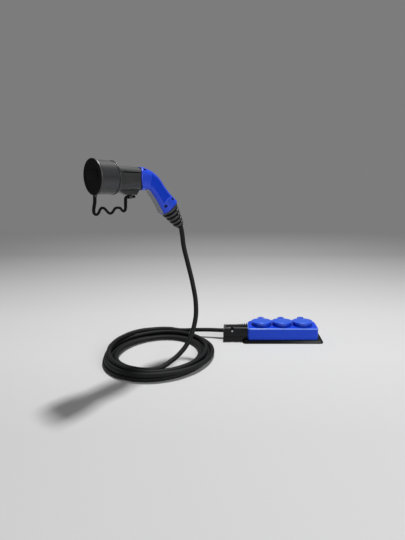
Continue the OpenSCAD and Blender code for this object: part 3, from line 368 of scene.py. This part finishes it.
def dress(obj, slot, body, nodes):
    """Gives a piece its finish and its body if it has one, and hides the nodes that it stands for."""
    obj.data.materials.append(FINISHES[slot])
    if body:
        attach(obj, body)
    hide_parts(*nodes)
    return obj


def paint_on_faces(obj, where, finish=BLACK_AND_PAINTED_SHADE):
    """Gives some faces of a piece another finish, such as painted shade in a recess or a painted highlight on
    an edge.
    """
    obj.data.materials.append(finish)
    for face in obj.data.polygons:
        if where(face.center / MM):
            face.material_index = len(obj.data.materials) - 1


def show(name, data):
    """An object with this data, in the scene."""
    obj = bpy.data.objects.new(name, data)
    bpy.context.scene.collection.objects.link(obj)
    return obj


def final_mesh(obj):
    """A piece's mesh with its modifiers applied."""
    graph = bpy.context.evaluated_depsgraph_get()
    return bpy.data.meshes.new_from_object(obj.evaluated_get(graph))


def to_object(name, bm, sharp=SHARP):
    """A bmesh in metres as an object, smooth except at its sharp edges."""
    mesh = bpy.data.meshes.new(name)
    bm.to_mesh(mesh)
    bm.free()
    mesh.shade_smooth()
    mesh.set_sharp_from_angle(angle=math.radians(sharp))
    return show(name, mesh)


def piece(name, bm, place, slot, body, *nodes):
    """Merges and places a shape made in millimetres, and dresses it."""
    bmesh.ops.remove_doubles(bm, verts=bm.verts, dist=MERGE)
    bmesh.ops.recalc_face_normals(bm, faces=bm.faces)
    bmesh.ops.transform(bm, matrix=TO_METRES @ place, verts=bm.verts)
    return dress(to_object(name, bm), slot, body, nodes)


def as_made(node, ease):
    """A CAD node's own shape with its triangles merged, its curves smooth and its edges eased."""
    bm = bmesh.new()
    bm.from_mesh(frame["nodes"][node].data)
    bmesh.ops.remove_doubles(bm, verts=bm.verts, dist=MERGE * MM)
    bmesh.ops.dissolve_limit(bm, angle_limit=math.radians(FLAT), verts=bm.verts, edges=bm.edges)
    obj = to_object(node + "_eased", bm, SHARP_CAD)
    if ease:
        bevel = obj.modifiers.new("eased", "BEVEL")
        bevel.width = ease * MM
        bevel.segments = 2
        bevel.limit_method = "ANGLE"
        bevel.angle_limit = math.radians(SHARP_CAD)
        bevel.harden_normals = True
    return dress(obj, SLOT_OF[node], BODY_OF[node], [node])


def turned(section):
    """A body spun about X from the corners of its section: along, out from the axis, rounding."""
    bm = bmesh.new()
    corners = [bm.verts.new((along, 0, out)) for along, out, _ in section]
    for a, b in zip(corners, corners[1:]):
        bm.edges.new((a, b))
    for corner, (_, _, rounding) in zip(corners, section):
        if rounding:
            bmesh.ops.bevel(bm, geom=[corner], offset=rounding, offset_type="OFFSET", segments=CORNER_STEPS,
                            profile=0.5, affect="VERTICES", material=-1)
    bmesh.ops.spin(bm, geom=bm.verts[:] + bm.edges[:], axis=(1, 0, 0), cent=(0, 0, 0), angle=math.tau,
                   steps=TURNED_STEPS, use_merge=True)
    bmesh.ops.remove_doubles(bm, verts=bm.verts, dist=MERGE)
    return bm


def block(bm, low, high, edge, segments=2):
    """Adds a box between two corners with its edges eased."""
    low, high = Vector(low), Vector(high)
    made = bmesh.ops.create_cube(bm, size=1)["verts"]
    bmesh.ops.scale(bm, vec=high - low, verts=made)
    bmesh.ops.translate(bm, vec=(low + high) / 2, verts=made)
    edges = list(dict.fromkeys(e for v in made for e in v.link_edges))
    bmesh.ops.bevel(bm, geom=edges, offset=edge, offset_type="OFFSET", segments=segments, profile=0.5,
                    affect="EDGES", material=-1)


def rod(bm, start, end, radius):
    """Adds a round bar between two points."""
    start, end = Vector(start), Vector(end)
    turn = (end - start).to_track_quat("Z", "Y").to_matrix().to_4x4()
    bmesh.ops.create_cone(bm, segments=ROD_STEPS, radius1=radius, radius2=radius, depth=(end - start).length,
                          cap_ends=True, matrix=Matrix.Translation((start + end) / 2) @ turn)


def skin(along, around):
    """A flat grid, one unit each way, to be laid over a curved outside."""
    bm = bmesh.new()
    bmesh.ops.create_grid(bm, x_segments=along, y_segments=around, size=GRID_HALF)
    return bm


def lay(bm, place):
    """Lays a grid over an outside: place gives a point from the shares along and around."""
    for v in bm.verts:
        v.co = place(v.co.x + GRID_HALF, v.co.y + GRID_HALF)


def add_wall(obj, wall):
    """Gives a skin its wall, inwards."""
    thick = obj.modifiers.new("wall", "SOLIDIFY")
    thick.thickness = wall * MM
    thick.offset = -1
    thick.use_even_offset = False


def eased(past, radius):
    """How far a rounded edge falls back, this far past the start of its rounding."""
    share = min(max(past / radius, 0), 1)
    return radius * (1 - math.sqrt(1 - share * share))


def carve(obj, *bars):
    """Cuts round bars out of a piece: start, end and radius of each, in millimetres."""
    bm = bmesh.new()
    for start, end, radius in bars:
        rod(bm, start, end, radius)
    bmesh.ops.transform(bm, matrix=TO_METRES, verts=bm.verts)
    cutter = to_object("cutter", bm)
    cut = obj.modifiers.new("holes", "BOOLEAN")
    cut.object = cutter
    cut.use_self = True
    mesh = final_mesh(obj)
    mesh.name = obj.name
    obj.modifiers.clear()
    obj.data = mesh
    bpy.data.objects.remove(cutter)
    mesh.set_sharp_from_angle(angle=math.radians(SHARP))


def route_curve(name, points, depth):
    """A round bar along a smooth open curve through points in millimetres, with a thickness for each."""
    data = bpy.data.curves.new(name, "CURVE")
    data.dimensions = "3D"
    data.bevel_depth = depth * MM
    data.bevel_resolution = CORD_ROUND
    data.resolution_u = CORD_ALONG
    data.use_fill_caps = True
    spline = data.splines.new("BEZIER")
    spline.bezier_points.add(len(points) - 1)
    for knot, (place, share) in zip(spline.bezier_points, points):
        knot.co = Vector(place) * MM
        knot.radius = share
        knot.handle_left_type = knot.handle_right_type = "AUTO"
    return show(name, data)


def coil_place(turn):
    """Place on the cable, that many turns into its coil."""
    for a, b in zip(TURNS, TURNS[1:]):
        if turn <= b[0]:
            break
    share = (turn - a[0]) / (b[0] - a[0])
    climb = share * share * (3 - 2 * share)
    reach = a[1] + (b[1] - a[1]) * share
    angle = COIL_FROM - math.tau * turn
    return (COIL[0] + reach * math.cos(angle), COIL[1] + reach * math.sin(angle),
            FLOOR + a[2] + (b[2] - a[2]) * climb)


def lay_cable():
    """One length of cable from inside the boot to the outlet block's entry."""
    boot_end = HANDLE_LEN + BOOT_LEN
    inside = [spine(boot_end - CABLE_IN_BOOT).translation, spine(boot_end).translation]
    steps = round(TURNS[-1][0] * STEPS_PER_TURN)
    coil = [coil_place(i / STEPS_PER_TURN) for i in range(steps + 1)]
    entry = [ON_BLOCK @ Vector((ENTRY[0] + step, ENTRY[1], ENTRY[2])) for step in ENTRY_STEPS]
    points = inside + HANG + coil + LEAD + entry
    cable = route_curve("cable", [(p, 1) for p in points], CABLE_D / 2)
    dress(cable, "cable_jacket", "lead", ["cord_hang", "cord_coil", "cord_lead"])


def hang_strap():
    """The cap's wavy strap, which stretches between the cap and its lug."""
    corners = [(Vector((x, 0, z)), d / 2) for x, z, d in STRAP]
    points = corners[:1]
    for before, (corner, depth), after in zip(corners, corners[1:], corners[2:]):
        for other in (before[0], after[0]):
            step = min(STRAP_ROUND, (other - corner).length / STRAP_SIDE_PART)
            points.append((corner + (other - corner).normalized() * step, depth))
    points += corners[-1:]
    line = route_curve("strap_line", points, 1)
    mesh = final_mesh(line)
    bpy.data.objects.remove(line)
    strap = show("cap_tether", mesh)
    mesh.shade_smooth()
    dress(strap, "black_rubber", None, ["cap_strap"])
    mesh.materials[0] = BLACK_AND_PAINTED_SHADE
    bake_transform(strap)


def through(values, share):
    """Value that runs through three given ones at the start, the middle and the end."""
    front, mid, end = values
    return (front * (1 - share) * (1 - 2 * share) + mid * 4 * share * (1 - share)
            + end * share * (2 * share - 1))


def handle_place(d, turn, wider=0, higher=None):
    """Point on the handle's outside: d along it, and the turn from its top towards -Y."""
    share = min(max(d / HANDLE_LEN, 0), 1)
    up, side = (math.copysign(abs(c) ** (2 / OVAL_POWER), c) for c in (math.cos(turn), math.sin(turn)))
    higher = wider if higher is None else higher
    return spine(d) @ Vector((0, -(through(HANDLE_W, share) / 2 + wider) * side,
                              (through(HANDLE_H, share) / 2 + higher) * up))


def dust_cap():
    """The pull-off cap: flange with a sunk face, plain pad, body, rear bead and the strap's tab."""
    bm = turned(CAP_SECTION)
    block(bm, *CAP_PAD, 3)
    block(bm, *CAP_TAB, 3)
    cap = piece("pull_off_cap", bm, Matrix(), "black_rubber", "cap", "dust_cap")
    # Painted shade: the front face, turned away from the lamp, takes the near-black finish
    paint_on_faces(cap, lambda p: p.x < CAP_SHADE_X and math.hypot(p.y, p.z) < CAP_SHADE_R)


def boot_radius(along):
    """The boot's radius over its ribs, this far along it."""
    return BOOT_R + (BOOT_TIP_R - BOOT_R) * along / BOOT_LEN


def boot():
    """The ribbed cable boot behind the handle."""
    pitch = BOOT_LEN / BOOT_RIBS
    section = [(BOOT_NECK, BOOT_BORE_R, 0), (BOOT_NECK, BOOT_NECK_R, 0), (BOOT_FACE, BOOT_NECK_R, 0)]
    for rib in range(BOOT_RIBS):
        for share, sunk, rounding in RIB_SECTION:
            along = (rib + share) * pitch
            section.append((along, boot_radius(along) - sunk, rounding))
    section += [(BOOT_LEN, BOOT_NECK_R, BOOT_TIP_ROUND), (BOOT_LEN, BOOT_BORE_R, BOOT_BORE_ROUND),
                (BOOT_NECK, BOOT_BORE_R, 0)]
    obj = piece("ribbed_boot", turned(section), spine(HANDLE_LEN), "black_rubber", "lead", "cable_boot")
    from_boot = spine(HANDLE_LEN).inverted()

    def in_groove_shade(point):
        along, *across = from_boot @ point
        return along > GROOVE_SHADE_FROM and math.hypot(*across) < boot_radius(along) - GROOVE_SHADE_DEPTH * RIB_DEPTH

    # Painted shade: faces deep in the grooves take the near-black finish
    paint_on_faces(obj, in_groove_shade)


def handle_turn(around):
    """Turn from the handle's top to its bottom, in steps that narrow towards the seam."""
    return math.pi * (around - SEAM_CROWD * math.sin(math.tau * around) / math.tau)


def handle_half(name, side, node):
    """One shell of the handle, with its sunk side panel and eased seam; side is 1 for the -Y one."""
    bm = skin(*HANDLE_GRID)
    panel = []
    for f in bm.faces:
        middle = f.calc_center_median()
        on_length = PANEL_FROM < (middle.x + GRID_HALF) * HANDLE_LEN < PANEL_TO
        if on_length and abs(handle_turn(middle.y + GRID_HALF) - math.pi / 2) < PANEL_HALF:
            panel.append(f)
    end = [e for e in bm.edges if min(v.co.x for v in e.verts) > GRID_END]

    def place(along, around):
        d = along * HANDLE_LEN
        from_seam = min(around, 1 - around) * HANDLE_GRID[1]
        sunk = eased(d - HANDLE_LEN + END_ROUND, END_ROUND)
        sunk += eased(SEAM_STEPS - from_seam, SEAM_STEPS) * SEAM_SINK
        return handle_place(d, side * handle_turn(around), -sunk)

    lay(bm, place)
    bmesh.ops.recalc_face_normals(bm, faces=bm.faces)
    for wide, deep in PANEL_STEPS:
        bmesh.ops.inset_region(bm, faces=panel, thickness=wide, depth=deep, use_even_offset=False)
    for f in panel:
        f.material_index = 1
    face = bmesh.ops.extrude_edge_only(bm, edges=end)["geom"]
    inner = [v for v in face if isinstance(v, bmesh.types.BMVert)]
    bmesh.ops.scale(bm, vec=(1, *END_HOLE), space=spine(HANDLE_LEN).inverted(), verts=inner)
    obj = piece(name, bm, Matrix(), "blue_plastic", "lead", node)
    obj.data.materials.append(PANEL_BLUE)
    add_wall(obj, SHELL)
    if side > 0:
        across = spine(SCREW_D_ALONG)
        carve(obj, *[(*(across @ Vector((0, y, up)) for y in SCREW_HOLE_Y), SCREW_HEAD_D / 2 + SCREW_ROOM)
                     for up in (-SCREW_UP, SCREW_UP)])


def collar_place(along, around):
    """Point on the collar's outside, from its curved front edge to the handle."""
    turn = around * math.tau
    top = handle_place(-1, turn, COLLAR_CROWN, COLLAR_RISE).z
    front = COLLAR_X - COLLAR_WING * (1 - (top / COLLAR_REACH) ** 2)
    x = front + along * (HANDLE_X - front)
    sunk = eased(COLLAR_FRONT_R - (x - front), COLLAR_FRONT_R) * COLLAR_FRONT_SINK
    sunk += eased(x - HANDLE_X + COLLAR_BACK_R, COLLAR_BACK_R) * COLLAR_BACK_SINK
    return handle_place(x - HANDLE_X, turn, COLLAR_CROWN - sunk,
                        COLLAR_RISE - sunk * COLLAR_RISE / COLLAR_CROWN)


def collar():
    """The collar between barrel and handle, with the hole of its grub screw."""
    bm = skin(*COLLAR_GRID)
    lay(bm, collar_place)
    obj = piece("winged_collar", bm, Matrix(), "blue_plastic", "lead", "collar_ring")
    add_wall(obj, COLLAR_WALL)
    middle = Vector((GRUB_X, 0, 0))
    carve(obj, (middle + GRUB_FROM * GRUB_OUT, middle + GRUB_TO * GRUB_OUT, GRUB_R))


def grip_place(along, around):
    """Point on the soft strip's outside, which falls off towards its edges."""
    fall = abs(2 * along - 1) ** GRIP_ENDS_POWER, abs(2 * around - 1) ** GRIP_SIDES_POWER
    return handle_place(GRIP_FROM + along * (GRIP_TO - GRIP_FROM), math.pi + (2 * around - 1) * GRIP_HALF,
                        GRIP_RISE - GRIP_FALL * fall[0] - GRIP_FALL * fall[1])


def grip():
    """The soft strip along the handle's underside, rounded off at its edges."""
    bm = skin(*GRIP_GRID)
    lay(bm, grip_place)
    obj = piece("soft_grip_strip", bm, Matrix(), "grip_rubber", "lead", "grip_inlay")
    add_wall(obj, GRIP_WALL)


def lid(n):
    """A sprung outlet lid: sloped and slightly domed, with a sunk ring, a finger tab and its knuckles."""
    bm = turned(LID_SECTION)
    bmesh.ops.rotate(bm, cent=(0, 0, 0), matrix=Matrix.Rotation(-math.pi / 2, 3, "Y"), verts=bm.verts)
    for v in bm.verts:
        v.co.z -= v.co.y * LID_SLOPE * min(max((v.co.z - LID_Z - SLOPE_FROM) / SLOPE_OVER, 0), 1)
    block(bm, *LID_TAB)
    for side in (-1, 1):
        middle = side * KNUCKLE_MID
        reach = [Vector((middle + end * KNUCKLE_HALF, 0, 0)) for end in (-side, side)]
        rod(bm, HINGE + reach[0], HINGE + reach[1], KNUCKLE_D / 2)
        block(bm, (middle - KNUCKLE_HALF, ARM_FROM, ARM_LOW), (middle + KNUCKLE_HALF, HINGE.y, ARM_HIGH),
              ARM_EDGE)
    block(bm, *LID_HOOD, 3)
    place = ON_BLOCK @ Matrix.Translation((OUTLETS[n], OUTLET_V, 0))
    obj = piece("sprung_lid_" + n, bm, place, "blue_plastic", "lid_" + n, "lid_" + n)
    # The lids take the paler blue: painted light from the lamp overhead
    obj.data.materials[0] = LID_BLUE_PAINTED_LIGHT


def in_barrel_line_shade(point):
    """Whether a point is in the sunk line along the barrel's side, where shade is painted."""
    share = (point.x - BARREL_FROM[0]) / (BARREL_TO[0] - BARREL_FROM[0])
    radius = BARREL_FROM[1] + share * (BARREL_TO[1] - BARREL_FROM[1])
    outside = min(BARREL_FLAT, math.sqrt(radius ** 2 - min(point.z ** 2, radius ** 2)))
    on_line = LINE_ENDS[0] < point.x < LINE_ENDS[1] and LINE_UP[0] < point.z < LINE_UP[1]
    return on_line and outside - LINE_DEEP[1] < abs(point.y) < outside - LINE_DEEP[0]


def on_box_highlight(point):
    """Whether a point is on the rounding along the outlet box's top edge, where a highlight is painted."""
    u, v, up = ON_BLOCK.inverted() @ point
    outer = abs(v) > BOX_HALF_W - BOX_EDGE or abs(u) > BOX_HALF_L - BOX_CORNER
    return outer and BOX_TOP - BOX_EDGE < up < BOX_TOP - BOX_TOP_SKIN


def on_entry_highlight(point):
    """Whether a point is on the chamfer along the entry's front top edge, where a highlight is painted."""
    _, v, up = ON_BLOCK.inverted() @ point
    return max(abs(v - ENTRY_EDGE[0]), abs(up - ENTRY_EDGE[1])) < ENTRY_HIGHLIGHT_REACH


def in_slot_shade(point):
    """Whether a point is on the walls of the slot round the entry's side screw, where shade is painted."""
    u, v, up = ON_BLOCK.inverted() @ point
    return abs(u - SLOT_U) < SLOT_HALF_U and SLOT_V < v < SLOT_V + SLOT_DEEP and up > SLOT_LOW


def add_camera():
    """The photograph's camera, found from the sizes of the connector and the outlets."""
    data = bpy.data.cameras.new("photo_camera")
    data.sensor_width = SENSOR
    data.lens = FOCAL_PX / PHOTO_H * SENSOR
    data.shift_x = -AXIS_RIGHT_PX / PHOTO_H
    data.clip_start, data.clip_end = CLIP
    camera = show("photo_camera", data)
    camera.location = CAMERA
    look = AHEAD * math.cos(PITCH) + Vector((0, 0, math.sin(PITCH)))
    camera.rotation_euler = look.to_track_quat("-Z", "Y").to_euler()
    bpy.context.scene.camera = camera


def add_floor():
    """A pale floor, darkened with distance by a painted falloff of light, that runs into the backdrop's grey
    and far off glows with it.
    """
    bm = bmesh.new()
    bmesh.ops.create_grid(bm, x_segments=1, y_segments=1, size=FLOOR_HALF)
    bmesh.ops.translate(bm, vec=Vector((0, 0, FLOOR * MM - FLOOR_GAP)), verts=bm.verts)
    floor = to_object("floor", bm)
    made, tree, shader, where = new_material("paper_floor_painted_falloff")
    shader.inputs["Roughness"].default_value = FLOOR_ROUGH
    shader.inputs["Specular IOR Level"].default_value = FLOOR_SHEEN
    along = add(tree, "ShaderNodeVectorMath", {0: where, 1: AHEAD}, operation="DOT_PRODUCT").outputs["Value"]
    start = CAMERA.dot(AHEAD)
    share = add(tree, "ShaderNodeMapRange",
                {"Value": along, "From Min": start, "From Max": start + FLOOR_REACH}).outputs[0]
    ramp = add(tree, "ShaderNodeValToRGB", {"Fac": share})
    stops = ramp.color_ramp.elements
    while len(stops) < len(FLOOR_PAINTED_FALLOFF):
        stops.new(1)
    for stop, (reach, tone) in zip(stops, FLOOR_PAINTED_FALLOFF):
        stop.position = reach / FLOOR_REACH
        stop.color = (tone, tone, tone, 1)
    tree.links.new(ramp.outputs[0], shader.inputs["Base Color"])
    glow = add(tree, "ShaderNodeEmission", {"Color": (BACKDROP, BACKDROP, BACKDROP, 1)})
    far = add(tree, "ShaderNodeMapRange",
              {"Value": along, "From Min": start + FADE_FROM, "From Max": start + FADE_TO})
    blend = add(tree, "ShaderNodeMixShader", {0: far.outputs[0], 1: shader.outputs[0], 2: glow.outputs[0]})
    tree.links.new(blend.outputs[0], tree.nodes["Material Output"].inputs["Surface"])
    floor.data.materials.append(made)


def add_light():
    """A lamp overhead, a little behind, a soft one at the side and an even fill.

    The camera and reflections see a grey backdrop instead of the fill."""
    for name, shines_from, away, wide, watts in LAMPS:
        data = bpy.data.lights.new(name, "AREA")
        data.energy = watts
        data.size = wide
        lamp = show(name, data)
        lamp.location = LAMP_AT + Vector(shines_from).normalized() * away
        lamp.rotation_euler = Vector(shines_from).to_track_quat("Z", "Y").to_euler()
    world = bpy.data.worlds.new("studio")
    world.use_nodes = True
    bpy.context.scene.world = world
    tree = world.node_tree
    path = add(tree, "ShaderNodeLightPath").outputs
    seen = path["Is Camera Ray"]
    for ray in ("Is Glossy Ray", "Is Transmission Ray"):
        seen = add(tree, "ShaderNodeMath", {0: seen, 1: path[ray]}, operation="MAXIMUM").outputs[0]
    level = add(tree, "ShaderNodeMapRange", {"Value": seen, "To Min": FILL, "To Max": BACKDROP})
    tree.links.new(level.outputs[0], tree.nodes["Background"].inputs["Strength"])
    tree.nodes["Background"].inputs["Color"].default_value = (1, 1, 1, 1)


# Nodes that are made anew; the others keep the CAD's own shape
MADE = {"cord_hang", "cord_coil", "cord_lead", "cap_strap", "dust_cap", "cable_boot", "handle_left",
        "handle_right", "collar_ring", "grip_inlay", "lid_1", "lid_2", "lid_3"}
# Width of their eased edges, finishes other than their slot's, and faces with painted shade or painted
# highlights
EASED = {"nose_housing": 0.5, "outlet_housing": 0.6, "base_plate": 0.9, "entry_lower": 0.7,
         "entry_upper": 1, "side_screw": 0.3, "handle_screws": 0.4}
RECOLOURED = {"handle_screws": DARK_SCREW_STEEL, "collar_screw": DARK_SCREW_STEEL, "base_plate": SMOOTH_BLACK,
              "entry_lower": SMOOTH_BLACK, "entry_upper": SMOOTH_BLACK, "outlet_housing": BOX_BLUE}
PAINTED_SHADE_AND_HIGHLIGHTS = {"entry_upper": [(in_slot_shade, BLACK_AND_PAINTED_SHADE), (on_entry_highlight, GREY_PAINTED_HIGHLIGHT)],
              "outlet_housing": [(on_box_highlight, BLUE_PAINTED_HIGHLIGHT)],
              "nose_housing": [(in_barrel_line_shade, BLACK_AND_PAINTED_SHADE)]}

bpy.context.scene.view_settings.view_transform = "Standard"
add_camera()
lay_cable()
hang_strap()
dust_cap()
boot()
handle_half("handle_shell_right", 1, "handle_right")
handle_half("handle_shell_left", -1, "handle_left")
collar()
grip()
for n in OUTLETS:
    lid(n)
for node in frame["nodes"]:
    if node not in MADE:
        obj = as_made(node, EASED.get(node, 0))
        if node in RECOLOURED:
            obj.data.materials[0] = RECOLOURED[node]
        # Painted shade in recesses and painted highlights on edges
        for where, finish in PAINTED_SHADE_AND_HIGHLIGHTS.get(node, ()):
            paint_on_faces(obj, where, finish)
add_floor()
add_light()
